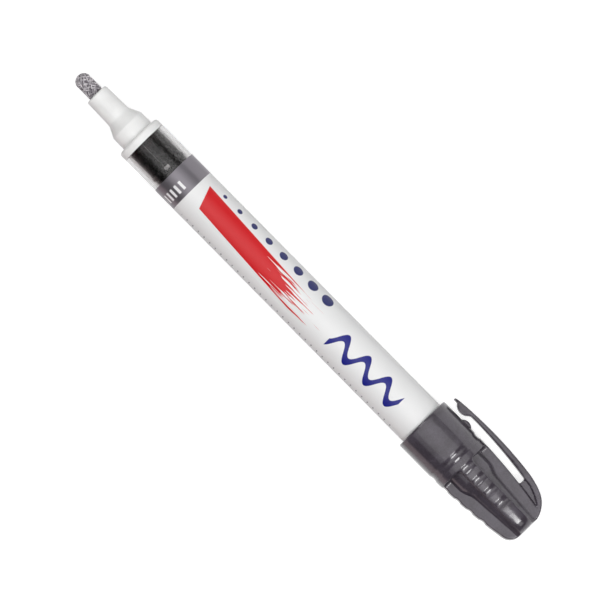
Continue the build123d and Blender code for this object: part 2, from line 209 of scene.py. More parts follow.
# %% [markdown]
# ## Lamps
# Glossy grey plastic mirrors the lamps, so their size and place draw its highlights. Two
# wide boxes beside the camera give the long sheen, with soft sides because one is wider
# than the other. Two narrow, bright boxes stand along the marker to either side and light
# the walls of the cap's ring grooves, and weaker ones between keep the rest of each
# groove from going dark. A box past the cap's end and a faint fill from behind are last.

# %% Lamps
def soft_lamp(name, direction, away, length, width, brightness, tint="#ffffff"):
    """A soft lamp: length along the marker, width across it, brightness 1 is white."""
    lamp = bpy.data.lights.new(name, "AREA")
    lamp.color = linear(tint)[:3]
    lamp.shape, lamp.size, lamp.size_y = "RECTANGLE", length, width
    lamp.energy = brightness * math.pi * length * width
    out = direction.normalized()
    lengthways = (axis - axis.dot(out) * out).normalized()
    turned = Matrix((lengthways, out.cross(lengthways), out)).transposed().to_4x4()
    stand = bpy.data.objects.new(name, lamp)
    stand.matrix_world = Matrix.Translation(away * out) @ turned
    stand.visible_camera = False
    bpy.context.scene.collection.objects.link(stand)


front = to_camera + 0.05 * axis
towards_cap = to_camera + 0.29 * axis
towards_nib = to_camera - 0.25 * axis
past_middle = to_camera - 0.02 * clip_side
behind = -0.25 * to_camera - 0.9 * clip_side

# Name, direction, distance, length and width in metres, brightness, and a tint for the last.
soft_lamp("wide_front_softbox", front, 0.95, 0.28, 1.4, 0.7)
soft_lamp("widest_front_softbox", front, 0.96, 0.28, 2.8, 0.65)
soft_lamp("cap_front_softbox", towards_cap, 0.9, 0.2, 0.45, 1.0)
soft_lamp("cap_wide_softbox", towards_cap, 0.92, 0.22, 1.4, 0.75)
soft_lamp("nib_wide_softbox", towards_nib, 0.92, 0.32, 1.4, 0.5)
soft_lamp("nib_side_softbox", past_middle - 0.56 * axis, 0.9, 0.16, 0.35, 14.4)
soft_lamp("cap_side_softbox", past_middle + 0.52 * axis, 0.9, 0.16, 0.33, 14.4)
soft_lamp("cap_end_softbox", past_middle + 1.2 * axis, 0.9, 0.5, 0.3, 1.6)
soft_lamp("back_fill", behind, 0.7, 0.8, 0.35, 0.9, "#ffe8ea")
print(len(bpy.data.lights), "lamps")

# %% [markdown]
# ## Moulded pieces
# Most pieces are plastic mouldings whose shape the frame already has. Its meshes are
# loose triangles with sharp edges, while a moulded edge is a little round and catches a
# line of light. So a copy is merged, its flat faces are joined, and its edges get a
# small bevel before the shading is smoothed.

# %% Placing a finished piece
def place_piece(name, mesh, body, slot, *nodes):
    """A finished piece that rides on a body, in place of the given nodes."""
    piece = bpy.data.objects.new(name, mesh)
    bpy.context.scene.collection.objects.link(piece)
    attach(piece, body)
    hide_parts(*nodes)
    print(name, len(mesh.polygons), "faces")
    return piece


# %% A moulded copy of a CAD node
sharp_edge = math.radians(35)  # faces that meet at more than this make a sharp edge
flat_within = math.radians(0.4)  # and those that meet at less make one flat face
same_point = 0.0005 * mm


def evaluated_mesh(mesh, name, modifiers):
    """The plain mesh that a list of (kind, settings) modifiers makes of mesh."""
    rough = bpy.data.objects.new(name, mesh)
    bpy.context.scene.collection.objects.link(rough)
    for kind, settings in modifiers:
        modifier = rough.modifiers.new(kind, kind)
        for key, value in settings.items():
            setattr(modifier, key, value)
    bpy.context.view_layer.update()
    shown = rough.evaluated_get(bpy.context.evaluated_depsgraph_get())
    result = bpy.data.meshes.new_from_object(shown)
    result.name = name
    bpy.data.objects.remove(rough)
    return result


def merged_copy(node, name):
    """The node's mesh with its triangles joined up and its flat faces made one."""
    mesh = bpy.data.meshes.new(name)
    work = bmesh.new()
    work.from_mesh(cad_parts[node].data)
    bmesh.ops.remove_doubles(work, verts=work.verts, dist=same_point)
    bmesh.ops.dissolve_limit(work, angle_limit=flat_within, verts=work.verts, edges=work.edges)
    work.to_mesh(mesh)
    work.free()
    return mesh


def shade_smooth(mesh, sharp_angle):
    mesh.shade_smooth()
    mesh.set_sharp_from_angle(angle=sharp_angle)


def moulded(node, name, edge):
    """A copy of a node with its sharp edges rounded to a radius of edge."""
    copy = merged_copy(node, name)
    shade_smooth(copy, sharp_edge)
    return evaluated_mesh(copy, name, [
        ("BEVEL", dict(width=edge, segments=3, limit_method="ANGLE", angle_limit=sharp_edge)),
        ("WEIGHTED_NORMAL", dict(keep_sharp=True)),
    ])


# %% [markdown]
# ## Nozzle
# The front is injection-moulded white polypropylene. A plain white would look like
# paint, so its tone and gloss vary a little over flow marks a few millimetres wide.

# %% Nozzle in white polypropylene
# Moulded polypropylene: a satin white whose faint unevenness breaks up its highlights.
white_pp, tree, shader = finish("white_polypropylene_moulded", IOR=1.49)
place = add(tree, PLACE).outputs["Object"]
flow = add(tree, NOISE, sockets={"Vector": place, "Scale": 1 / (3.5 * mm), "Detail": 2.0})
skin = add(tree, NOISE, sockets={"Vector": place, "Scale": 1 / (0.5 * mm)})
wire(tree, shader,
     Base_Color=add(tree, RAMP, flow, tones=("#f1f1f0", "#f8f8f7")),
     Roughness=add(tree, RANGE, flow, 0.3, 0.7, 0.33, 0.45),
     Normal=add(tree, BUMP, sockets={"Height": skin, "Strength": 0.08, "Distance": 0.02 * mm}))

nozzle_mesh = moulded("nozzle", "nozzle_moulding", 0.2 * mm)
dress(nozzle_mesh, white_pp)
place_piece("nozzle_moulding", nozzle_mesh, "barrel", "white_plastic", "nozzle")

# %% [markdown]
# ## Barrel
# The barrel is an extruded tube of clear styrene. Its look comes from the light bent by
# its two walls, so the mesh keeps both of them and the shader is a plain clear one with
# a trace of haze from handling, drawn out along the tube.

# %% Barrel in clear styrene
# Extruded styrene: clear, a little grey at its walls, where light goes through more of it.
clear, tree, shader = finish("clear_styrene_extruded", Base_Color=linear("#cbcaca"), IOR=1.4,
                             Specular_IOR_Level=0.15, Transmission_Weight=1.0)
place = add(tree, PLACE).outputs["Object"]
stretched = add(tree, "ShaderNodeMapping", sockets={"Vector": place, "Scale": (0.2, 1.0, 1.0)})
haze = add(tree, NOISE, sockets={"Vector": stretched, "Scale": 1 / (2.0 * mm), "Detail": 3.0})
wire(tree, shader, Roughness=add(tree, RANGE, haze, 0.35, 0.7, 0.06, 0.14))

barrel_mesh = moulded("barrel", "barrel_tube", 0.15 * mm)
dress(barrel_mesh, clear)
place_piece("barrel_tube", barrel_mesh, "barrel", "clear_plastic", "barrel")

# %% [markdown]
# ## Valve cup
# Behind the clear window sits the valve's black cup, a glossy moulding with pale specks,
# partly paint and partly painted glints, and a brown stain of paint at its front. Round it
# runs a bead, and along it the two parting lines of its mould. Paint and bump could fake
# those, but they catch the light at their edges, so they are made as shapes and joined to
# the moulded copy. The parting lines and one spot of the bead are pale: painted highlights.

# %% Black polypropylene
cup_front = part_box("valve_housing")[0].x
stain_start, stain_end = cup_front + 0.5 * mm, cup_front + 3.5 * mm

# Moulded black polypropylene: deep and glossy, with ripples that break up the highlight.
black_pp, tree, shader = finish("black_polypropylene_moulded", IOR=1.49, Specular_IOR_Level=0.5)
place = add(tree, PLACE).outputs["Object"]
ripple = add(tree, NOISE, sockets={"Vector": place, "Scale": 1 / (0.9 * mm), "Detail": 2.0})
# Pale specks over the cup, partly paint residue and partly painted glints.
speck_and_glint_noise = add(tree, NOISE, sockets={"Vector": place, "Scale": 1 / (0.4 * mm), "Detail": 1.0})
speck_and_glint_tone = add(tree, RAMP, speck_and_glint_noise, tones=("#110e0e", "#6e6869"), stops=(0.56, 0.76))
place_x = add(tree, "ShaderNodeSeparateXYZ", place).outputs["X"]
stained = add(tree, RANGE, place_x, stain_start, stain_end, 0.7, 0.0)
tone = add(tree, MIX, sockets={"Factor": stained, 6: speck_and_glint_tone, 7: linear("#2e1a1b")},
           data_type="RGBA")
wire(tree, shader,
     Base_Color=tone.outputs[2],
     Roughness=add(tree, RANGE, ripple, 0.3, 0.7, 0.16, 0.36),
     Normal=add(tree, BUMP, sockets={"Height": ripple, "Strength": 0.5, "Distance": 0.15 * mm}))
print("stain fades over", round((stain_end - stain_start) / mm, 2), "mm")

# %% Painted highlights and polish on the cup
# The same plastic in three more finishes: pale on the parting lines, a painted highlight;
# polished on the bead; and near white at one spot of the bead, a painted highlight.
cup_finishes = [black_pp]
for name, shine, low, high, grain, detail, smooth, rough in (
        ("parting_line_painted_highlight", 0.5, "#5e5a5b", "#bcb6b7", 0.8 * mm, 3.0, 0.25, 0.4),
        ("black_polypropylene_polished", 1.0, "#141112", "#262223", 1.5 * mm, 2.0, 0.2, 0.32),
        ("bead_painted_highlight", 0.5, "#cfcbcb", "#f6f4f4", 0.5 * mm, 2.0, 0.2, 0.32)):
    painted_highlight_and_polish, tree, shader = finish(name, IOR=1.49, Specular_IOR_Level=shine)
    place = add(tree, PLACE).outputs["Object"]
    finish_noise = add(tree, NOISE, sockets={"Vector": place, "Scale": 1 / grain, "Detail": detail})
    wire(tree, shader, Base_Color=add(tree, RAMP, finish_noise, tones=(low, high)),
         Roughness=add(tree, RANGE, finish_noise, 0.3, 0.7, smooth, rough))
    cup_finishes.append(painted_highlight_and_polish)
PARTING_LINE_HIGHLIGHT, POLISHED, BEAD_HIGHLIGHT_SPOT = 1, 2, 3
cup_mesh = moulded("valve_housing", "valve_cup", 0.2 * mm)
dress(cup_mesh, *cup_finishes)
print("cup has", len(cup_finishes), "finishes")

# %% [markdown]
# ## Turned shapes
# The bead round the cup, and later the core of the nib, are round. A Screw modifier could
# turn their outlines, and its double points would then be merged. Rings of points, with a
# single point where a radius is 0, are closed from the start.

# %% A turned shape
def turned_mesh(name, profile, segments):
    """A closed shape from (x, radius) points, turned round the marker's axis."""
    work = bmesh.new()
    rings = []
    for x, r in profile:
        steps = segments if r else 1
        angles = [2 * math.pi * i / steps for i in range(steps)]
        rings.append([work.verts.new((x, r * math.cos(a), r * math.sin(a))) for a in angles])
    for ring, after in zip(rings, rings[1:]):
        for i in range(segments):
            j = (i + 1) % segments
            corners = [ring[i % len(ring)], ring[j % len(ring)],
                       after[j % len(after)], after[i % len(after)]]
            work.faces.new(list(dict.fromkeys(corners)))
    bmesh.ops.recalc_face_normals(work, faces=work.faces)
    mesh = bpy.data.meshes.new(name)
    work.to_mesh(mesh)
    work.free()
    return mesh


# %% Bead round the cup
cup_r = 4.83 * mm
bead_middle, bead_half, bead_rise = cup_front + 8.5 * mm, 0.45 * mm, 0.11 * mm
bead_foot, bead_base = cup_r - 0.1 * mm, cup_r + 0.18 * mm
bead_front, bead_back = bead_middle - bead_half, bead_middle + bead_half
bead_profile = [(bead_front, bead_foot), (bead_front, bead_base),
                (bead_middle, bead_base + bead_rise),
                (bead_back, bead_base), (bead_back, bead_foot), (bead_front, bead_foot)]
bead = turned_mesh("bead", bead_profile, 180)
bead.shade_flat()
bead.polygons.foreach_set("material_index", [POLISHED] * len(bead.polygons))

ridge_angle = math.atan2(to_camera.z, to_camera.y) + math.radians(7.5)
# One spot of the bead, near the side facing the camera, is coloured near white: a painted highlight.
bead_highlight_middle, bead_highlight_half = ridge_angle - math.radians(5), math.radians(8)
work = bmesh.new()
work.from_mesh(cup_mesh)
work.from_mesh(bead)
for face in work.faces:
    spot = face.calc_center_median()
    from_bead_highlight = abs(math.atan2(spot.z, spot.y) - bead_highlight_middle)
    if face.material_index == POLISHED and from_bead_highlight < bead_highlight_half:
        face.material_index = BEAD_HIGHLIGHT_SPOT
print("bead", round(2 * (bead_base + bead_rise) / mm, 2), "mm across")

# %% Parting lines along the cup
ridge_start, ridge_end = cup_front + 0.1 * mm, cup_front + 11.8 * mm
ridge_half, ridge_height = 0.09 * mm, 0.05 * mm
for angle in (ridge_angle, ridge_angle + math.pi):
    outward = Vector((0, math.cos(angle), math.sin(angle)))
    sideways = Vector((0, -math.sin(angle), math.cos(angle)))
    foot, crest = (cup_r - ridge_height) * outward, (cup_r + ridge_height) * outward
    section = [foot - ridge_half * sideways, crest, foot + ridge_half * sideways]
    ends = [[work.verts.new(point + x * axis) for point in section]
            for x in (ridge_start, ridge_end)]
    ridge = [work.faces.new(ends[0]), work.faces.new(ends[1])]
    for i in range(3):
        j = (i + 1) % 3
        ridge.append(work.faces.new((ends[0][i], ends[0][j], ends[1][j], ends[1][i])))
    bmesh.ops.recalc_face_normals(work, faces=ridge)
    # The ridges are coloured pale: a painted highlight along each parting line.
    for face in ridge:
        face.material_index = PARTING_LINE_HIGHLIGHT
work.to_mesh(cup_mesh)
work.free()
place_piece("valve_cup", cup_mesh, "barrel", "black_plastic", "valve_housing")

# %% [markdown]
# ## Cap
# The cap is the largest moulding: a skirt, ring grooves, four arms and a pocket clip in
# one pearl-grey piece. Its many small edges meet at all angles, too many for a bevel. So
# the copy is rebuilt from small cubes of space and smoothed, which rounds every edge by
# about the size of a cube, as a polished mould does. The cubes leave faint waves, so the
# surface is drawn back onto the sharp copy and smoothed once more.

# %% Cap mesh
cap_grain = 0.22 * mm
guide = bpy.data.objects.new("cap_guide", merged_copy("cap", "cap_guide"))
bpy.context.scene.collection.objects.link(guide)
cap_mesh = evaluated_mesh(merged_copy("cap", "cap_shell"), "cap_shell", [
    ("REMESH", dict(mode="VOXEL", voxel_size=cap_grain)),
    ("SMOOTH", dict(factor=0.5, iterations=4)),
    ("SHRINKWRAP", dict(target=guide, wrap_method="NEAREST_SURFACEPOINT")),
    ("SMOOTH", dict(factor=0.5, iterations=2)),
])
bpy.data.objects.remove(guide)
cap_mesh.shade_smooth()
print("cap triangles", sum(len(p.vertices) - 2 for p in cap_mesh.polygons))

# %% [markdown]
# ## Pocket clip
# The clip is thin and stands alone, so waves from the cubes show most along it, and its
# points are smoothed again. Its sides aren't flat: each leans back from a crest line, so
# that it is light above and dark below. Slice by slice, the points are moved in by more
# the further they lie from the crest.

# %% Smoother clip
clip_inside = 8.3 * mm
cap_mouth, cap_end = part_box("cap")[0].x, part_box("cap")[1].x
clip_start, clip_end = cap_mouth + 7.0 * mm, cap_end - 6.0 * mm
work = bmesh.new()
work.from_mesh(cap_mesh)
clip_points = [v for v in work.verts
               if v.co.dot(clip_side) > clip_inside and clip_start < v.co.x < clip_end]
for i in range(9):
    bmesh.ops.smooth_vert(work, verts=clip_points, factor=0.5,
                          use_axis_x=True, use_axis_y=True, use_axis_z=True)
print(len(clip_points), "points smoothed along the clip")

# %% Crest along the clip's sides
crest_depth, lowest_depth = 0.85 * mm, 1.7 * mm
lean_above, lean_below = math.tan(math.radians(12)), math.tan(math.radians(40))
crown_start, crown_end = cap_mouth + 1.6 * mm, cap_mouth + 27.0 * mm
fade_in, fade_out = 1.5 * mm, 3.0 * mm
slices = {}
for v in work.verts:
    if v.co.dot(clip_side) > clip_inside and crown_start < v.co.x < crown_end:
        slices.setdefault(round(v.co.x / cap_grain), []).append(v)
for points in slices.values():
    top = max(v.co.dot(clip_side) for v in points)
    half_clip = max(abs(v.co.dot(to_camera)) for v in points)
    for v in points:
        depth = min(top - v.co.dot(clip_side), lowest_depth)
        slope = lean_above if depth < crest_depth else lean_below
        fade = min(1.0, (v.co.x - crown_start) / fade_in, (crown_end - v.co.x) / fade_out)
        share = fade * abs(depth - crest_depth) * slope / half_clip
        v.co -= share * v.co.dot(to_camera) * to_camera
work.to_mesh(cap_mesh)
work.free()
print(len(slices), "slices along the clip")

# %% [markdown]
# ## Pearl grey plastic
# The cap's plastic carries fine metal flake under a glossy skin. It gives a grey with a
# clear highlight, and faint swirls where the plastic flowed in the mould. A clear coat
# over a duller, slightly metallic base gives both layers. Real flake is about 0.05 mm; it
# is drawn at 0.25 mm here so that it shows.

# %% Cap in pearl grey plastic
# Moulded plastic with flake: dark grey, light only where it mirrors a lamp.
pearl, tree, shader = finish("pearl_grey_plastic_moulded", Metallic=0.15, IOR=1.45,
                             Specular_IOR_Level=0.1, Coat_Weight=0.95, Coat_Roughness=0.16,
                             Coat_IOR=1.62)
place = add(tree, PLACE).outputs["Object"]
flake = add(tree, "ShaderNodeTexVoronoi", sockets={"Vector": place, "Scale": 1 / (0.25 * mm)})
swirl = add(tree, NOISE, sockets={"Vector": place, "Scale": 1 / (6.0 * mm), "Detail": 2.0,
                                  "Distortion": 1.5})
mixed = add(tree, MATH, flake.outputs["Color"], 0.25, operation="MULTIPLY")
mixed = add(tree, MATH, swirl, mixed, operation="ADD")
wire(tree, shader,
     Base_Color=add(tree, RAMP, mixed, tones=("#3d373f", "#504a54"), stops=(0.4, 0.9)),
     Roughness=add(tree, RANGE, swirl, 0.3, 0.7, 0.34, 0.42),
     Normal=add(tree, BUMP, sockets={"Height": swirl, "Strength": 0.1, "Distance": 0.1 * mm}))
dress(cap_mesh, pearl)
place_piece("cap_shell", cap_mesh, "cap", "cap_plastic", "cap")

# %% [markdown]
# ## Label
# The label is a white film wound once round the barrel, with its two ends overlapping at
# the back. A turned tube is enough for it, made of rings of points whose radius steps up
# by the film's thickness over the overlap.

# %% Label mesh
label_low, label_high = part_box("label")
label_start, label_end = label_low.x, label_high.x
film_r = label_high.z
inner_r = film_r - 0.12 * mm
overlap, overlap_step = math.radians(24), 0.06 * mm
edge_length, edge_sink = 0.04 * mm, 0.03 * mm
label_turns = 180
back_of_label = math.atan2(-to_camera.z, -to_camera.y)

label_mesh = bpy.data.meshes.new("label_film")
work = bmesh.new()
rings = []
for x, sink in ((label_start, edge_sink), (label_start + edge_length, 0.0),
                (label_end - edge_length, 0.0), (label_end, edge_sink),
                (label_end, None), (label_start, None)):
    ring = []
    for i in range(label_turns):
        turn = 2 * math.pi * i / label_turns
        outer_r = film_r if turn < overlap else film_r - overlap_step
        r = inner_r if sink is None else outer_r - sink
        angle = back_of_label + turn
        ring.append(work.verts.new((x, r * math.cos(angle), r * math.sin(angle))))
    rings.append(ring)
for ring, after in zip(rings, rings[1:] + rings[:1]):
    for i in range(label_turns):
        j = (i + 1) % label_turns
        work.faces.new((ring[i], after[i], after[j], ring[j]))
bmesh.ops.recalc_face_normals(work, faces=work.faces)
work.to_mesh(label_mesh)
work.free()
shade_smooth(label_mesh, math.radians(30))
print("label", round((label_end - label_start) / mm, 2), "mm long")

# %% [markdown]
# ## Print on the label
# The film is printed before it is wound. A picture file could carry the design, but a
# shader needs no file and stays sharp from near. It draws from two distances on the film
# in millimetres: along the marker from the label's front, and around it from a line on
# the photographed side. Each mark is a soft-edged mask over those distances. The design
# is a plain one that comes twice round the film: a grey band with white dashes, small
# ticks, a red brush stroke that runs dry, navy dots of growing size, and a blue wave.

# %% Distances on the film
# Printed plastic film: bright white under a thin, even gloss.
printed, tree, shader = finish("printed_white_film", IOR=1.5)
place = add(tree, PLACE).outputs["Object"]
photographed_side = (math.pi / 2 - camera_height, 0.0, 0.0)
facing = add(tree, "ShaderNodeMapping", sockets={"Vector": place, "Rotation": photographed_side})
parts = add(tree, "ShaderNodeSeparateXYZ", facing).outputs
along = add(tree, MATH, parts["X"], -label_start, operation="ADD")
along = add(tree, MATH, along, 1 / mm, operation="MULTIPLY")
turn = add(tree, MATH, parts["Y"], parts["Z"], operation="ARCTAN2")
half_turn = add(tree, MATH, turn, math.pi / 2, -math.pi / 2, operation="WRAP")
around = add(tree, MATH, half_turn, film_r / mm, operation="MULTIPLY")
ink_edge = 0.12  # mm over which a printed edge fades
print("the design repeats every", round(math.pi * film_r / mm, 2), "mm round the film")


def patch(*limits):
    """A soft-edged mask that is 1 where low < value < high for all the limits."""
    mask = None
    for low, value, high in limits:
        rising = add(tree, MATH, value, low, operation="SUBTRACT")
        falling = add(tree, MATH, high, value, operation="SUBTRACT")
        inside = add(tree, MATH, rising, falling, operation="MINIMUM")
        inside = add(tree, RANGE, inside, -ink_edge / 2, ink_edge / 2)
        mask = inside if mask is None else add(tree, MATH, mask, inside, operation="MULTIPLY")
    return mask


# %% Grey band, dashes and ticks
band_length, dash_step, tick_step = 6.55, 1.6, 2.0
band = patch((-1.0, along, band_length))
dash_place = add(tree, MATH, around, dash_step, operation="MODULO")
dash_place = add(tree, MATH, dash_place, operation="ABSOLUTE")
dashes = patch((2.7, along, 5.2), (0.45, dash_place, 1.2), (-8.6, around, -0.4))
tick_place = add(tree, MATH, along, tick_step, operation="MODULO")
ticks = patch((0.8, tick_place, 1.1), (-8.0, around, -7.3), (9.0, along, 84.0))
print("band", band_length, "mm long, ticks every", tick_step, "mm")

# %% Red brush stroke
stroke_half, stroke_middle, stroke_fall, stroke_slant = 3.1, 31.0, -0.06, 0.35
dry_start, dry_end = 29.0, 55.0
slant = add(tree, MATH, around, stroke_slant, operation="MULTIPLY")
slanted = add(tree, MATH, along, slant, operation="ADD")
stroke_line = add(tree, MATH, along, -stroke_middle, operation="ADD")
stroke_line = add(tree, MATH, stroke_line, stroke_fall, operation="MULTIPLY")
stroke_off = add(tree, MATH, around, stroke_line, operation="SUBTRACT")
brush_marks = add(tree, "ShaderNodeCombineXYZ", along, around)
bristles = add(tree, "ShaderNodeMapping",
               sockets={"Vector": brush_marks, "Scale": (0.07, 1.8, 1.0)})
streaks = add(tree, NOISE, sockets={"Vector": bristles, "Scale": 1.0, "Detail": 2.0})
dryness = add(tree, RANGE, along, dry_start, dry_end, 0.2, 0.75)
wet = add(tree, MATH, streaks, dryness, operation="SUBTRACT")
wet = add(tree, RANGE, wet, 0.0, 0.04)
stroke = patch((-stroke_half, stroke_off, stroke_half), (10.5, slanted, 54.0))
stroke = add(tree, MATH, stroke, wet, operation="MULTIPLY")
print("stroke", 2 * stroke_half, "mm wide, dry from", dry_start, "mm on")

# %% Navy dots
dots_start, dots_end, dot_step, dots_line = 11.0, 52.0, 5.2, 5.6
first_dot_r, dot_growth = 0.6, 0.16
from_first = add(tree, MATH, along, -dots_start, operation="ADD")
dot_cell = add(tree, MATH, from_first, dot_step, operation="DIVIDE")
dot_number = add(tree, MATH, dot_cell, operation="FLOOR")
in_cell = add(tree, MATH, dot_cell, operation="FRACT")
in_cell = add(tree, MATH, in_cell, dot_step, -dot_step / 2, operation="MULTIPLY_ADD")
beside = add(tree, MATH, around, -dots_line, operation="ADD")
dot_reach = add(tree, "ShaderNodeCombineXYZ", in_cell, beside)
dot_reach = add(tree, "ShaderNodeVectorMath", dot_reach, operation="LENGTH").outputs["Value"]
dot_r = add(tree, MATH, dot_number, dot_growth, first_dot_r, operation="MULTIPLY_ADD")
dot_inside = add(tree, MATH, dot_r, dot_reach, operation="SUBTRACT")
dots = patch((0.0, dot_inside, dot_step), (dots_start, along, dots_end))
print("dots every", dot_step, "mm from", dots_start, "to", dots_end, "mm")

# %% Blue wave
wave_length, wave_height, wave_half, wave_line = 7.3, 2.2, 1.15, -0.6
wave_turns = add(tree, MATH, along, 2 * math.pi / wave_length, operation="MULTIPLY")
wave_rise = add(tree, MATH, wave_turns, operation="SINE")
wave_rise = add(tree, MATH, wave_rise, wave_height, operation="MULTIPLY")
wave_off = add(tree, MATH, around, wave_rise, operation="SUBTRACT")
wave_off = add(tree, MATH, wave_off, -wave_line, operation="ADD")
wave = patch((-wave_half, wave_off, wave_half), (57.0, along, 80.8))
print("wave repeats every", wave_length, "mm")

# %% Layers of ink
ink = linear("#efefef")
inks = ((band, "#807c82"), (dashes, "#f0eff0"), (ticks, "#6a6a74"), (stroke, "#d20a16"),
        (wave, "#0b1180"), (dots, "#121a62"))
for mask, code in inks:
    layer = add(tree, MIX, sockets={"Factor": mask, 6: ink, 7: linear(code)}, data_type="RGBA")
    ink = layer.outputs[2]
metal = add(tree, MATH, band, dashes, operation="SUBTRACT")
film_grain = add(tree, NOISE, sockets={"Vector": place, "Scale": 1 / (4.0 * mm), "Detail": 2.0})
wire(tree, shader, Base_Color=ink,
     Metallic=add(tree, MATH, metal, 0.75, operation="MULTIPLY"),
     Roughness=add(tree, RANGE, film_grain, 0.3, 0.7, 0.36, 0.42))
dress(label_mesh, printed)
place_piece("label_film", label_mesh, "barrel", "label_film", "label")

# %% [markdown]
# ## Nib
# The nib is a rod of pressed felt with a bullet end, stained by paint. A turned core
# carries its shape, and Geometry Nodes lay short fibres over the part that shows. A bump
# could suggest them, but the nib's outline would stay smooth. Real fibres are about
# 0.03 mm thick; here they are 0.2 mm, so that they show.

# %% Turned core of the nib
nib_low, nib_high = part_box("nib")
nib_r = nib_high.z
fibre_room = 0.05 * mm
core_r, core_tip = nib_r - fibre_room, nib_low.x + fibre_room
bullet_length, bullet_steps = 1.8 * mm, 10
nib_profile = [(core_tip, 0.0)]
for i in range(1, bullet_steps + 1):
    bend = math.pi / 2 * i / bullet_steps
    nib_profile.append((core_tip + bullet_length * (1 - math.cos(bend)), core_r * math.sin(bend)))
nib_profile += [(nib_low.x + 6.8 * mm, core_r), (nib_high.x, core_r), (nib_high.x, 0.0)]
nib_core = turned_mesh("nib_core", nib_profile, 48)
print("nib", round(2 * nib_r / mm, 2), "mm thick")

# %% Felt
# Pressed felt: matt, with light and dark fibres and patches of dried paint.
felt, tree, shader = finish("pressed_felt_stained", Roughness=0.9, Specular_IOR_Level=0.25)
place = add(tree, PLACE).outputs["Object"]
stain = add(tree, NOISE, sockets={"Vector": place, "Scale": 1 / (0.6 * mm), "Detail": 3.0})
stain_tone = add(tree, MATH, stain, 0.8, -0.4, operation="MULTIPLY_ADD")
fibre_tone = add(tree, "ShaderNodeAttribute", attribute_name="fibre_tone").outputs["Fac"]
felt_tone = add(tree, MATH, fibre_tone, stain_tone, operation="ADD")
wire(tree, shader,
     Base_Color=add(tree, RAMP, felt_tone, tones=("#6b666c", "#efeaee"), stops=(0.0, 1.0)),
     Normal=add(tree, BUMP, sockets={"Height": stain, "Strength": 0.5, "Distance": 0.1 * mm}))
print(felt.name, len(tree.nodes), "nodes")


# %% Geometry trees
def new_tree(name, **inputs):
    """An empty geometry tree with a geometry in and out and named inputs."""
    tree = bpy.data.node_groups.new(name, "GeometryNodeTree")
    tree.interface.new_socket("Geometry", in_out="INPUT", socket_type="NodeSocketGeometry")
    for label, kind in inputs.items():
        tree.interface.new_socket(label, in_out="INPUT", socket_type="NodeSocket" + kind)
    tree.interface.new_socket("Geometry", in_out="OUTPUT", socket_type="NodeSocketGeometry")
    return tree


def grown_mesh(name, mesh, tree, **values):
    """The mesh that a geometry tree makes of mesh, with the tree's inputs set."""
    rough = bpy.data.objects.new(name, mesh)
    bpy.context.scene.collection.objects.link(rough)
    grower = rough.modifiers.new(name, "NODES")
    grower.node_group = tree
    for item in tree.interface.items_tree:
        if item.in_out == "INPUT" and item.name in values:
            grower[item.identifier] = values[item.name]
    bpy.context.view_layer.update()
    shown = rough.evaluated_get(bpy.context.evaluated_depsgraph_get())
    result = bpy.data.meshes.new_from_object(shown)
    result.name = name
    rough.modifiers.remove(grower)
    bpy.data.objects.remove(rough)
    return result


# %% [markdown]
# ## Felt fibres
# Each fibre is a short arched rod. Points are spread over the core's front, each gets
# a random tone and a random lean to one side of the marker's axis, and a fibre is put on
# every point. Leaning both ways, the fibres cross as felt's do.

# %% Where the fibres lie
fibres = new_tree("felt_fibres", Density="Float", Length="Float", Thickness="Float", Shown="Float",
                  Seed="Int", Felt="Material")
start = add(fibres, "NodeGroupInput").outputs
place = add(fibres, "GeometryNodeInputPosition")
place_x = add(fibres, "ShaderNodeSeparateXYZ", place).outputs["X"]
in_view = add(fibres, "FunctionNodeCompare", place_x, start["Shown"], operation="LESS_THAN")
spread = add(fibres, "GeometryNodeDistributePointsOnFaces",
             sockets={"Mesh": start["Geometry"], "Selection": in_view, "Density": start["Density"],
                      "Seed": start["Seed"]})
lie = add(fibres, "FunctionNodeAlignRotationToVector", spread.outputs["Rotation"],
          sockets={"Vector": (1.0, 0.0, 0.0)}, axis="X", pivot_axis="Z")
chance = add(fibres, "FunctionNodeRandomValue", sockets={"Seed": start["Seed"]}).outputs[1]
side = add(fibres, MATH, chance, 0.5, operation="SUBTRACT")
side = add(fibres, MATH, side, operation="SIGN")
slope = add(fibres, MATH, chance, 0.5, 0.5, operation="MULTIPLY_ADD")
twist = add(fibres, MATH, side, slope, operation="MULTIPLY")
twist = add(fibres, "FunctionNodeAxisAngleToRotation",
            sockets={"Axis": (0.0, 0.0, 1.0), "Angle": twist})
lie = add(fibres, "FunctionNodeRotateRotation", lie, twist, rotation_space="LOCAL")
tone_seed = add(fibres, MATH, start["Seed"], 1.0, operation="ADD")
tone_chance = add(fibres, "FunctionNodeRandomValue", sockets={"Seed": tone_seed}).outputs[1]
toned = add(fibres, "GeometryNodeStoreNamedAttribute",
            sockets={"Geometry": spread, "Name": "fibre_tone", "Value": tone_chance})
print("nodes that place fibres", len(fibres.nodes))

# %% One fibre
# A fibre is drawn 1 long and scaled by its length; its ends dip into the core.
fibre_dip, fibre_arch = 0.06, 0.09
fibre_line = add(fibres, "GeometryNodeCurvePrimitiveLine",
                 sockets={"Start": (-0.5, 0.0, -fibre_dip), "End": (0.5, 0.0, -fibre_dip)})
fibre_line = add(fibres, "GeometryNodeResampleCurve", sockets={"Curve": fibre_line, "Count": 4})
share = add(fibres, "GeometryNodeSplineParameter").outputs["Factor"]
arch = add(fibres, MATH, share, math.pi, operation="MULTIPLY")
arch = add(fibres, MATH, arch, operation="SINE")
arch = add(fibres, MATH, arch, fibre_arch, operation="MULTIPLY")
arch = add(fibres, "ShaderNodeCombineXYZ", sockets={"Z": arch})
fibre_line = add(fibres, "GeometryNodeSetPosition", sockets={"Geometry": fibre_line, "Offset": arch})
ratio = add(fibres, MATH, start["Thickness"], start["Length"], operation="DIVIDE")
ratio = add(fibres, MATH, ratio, 0.5, operation="MULTIPLY")
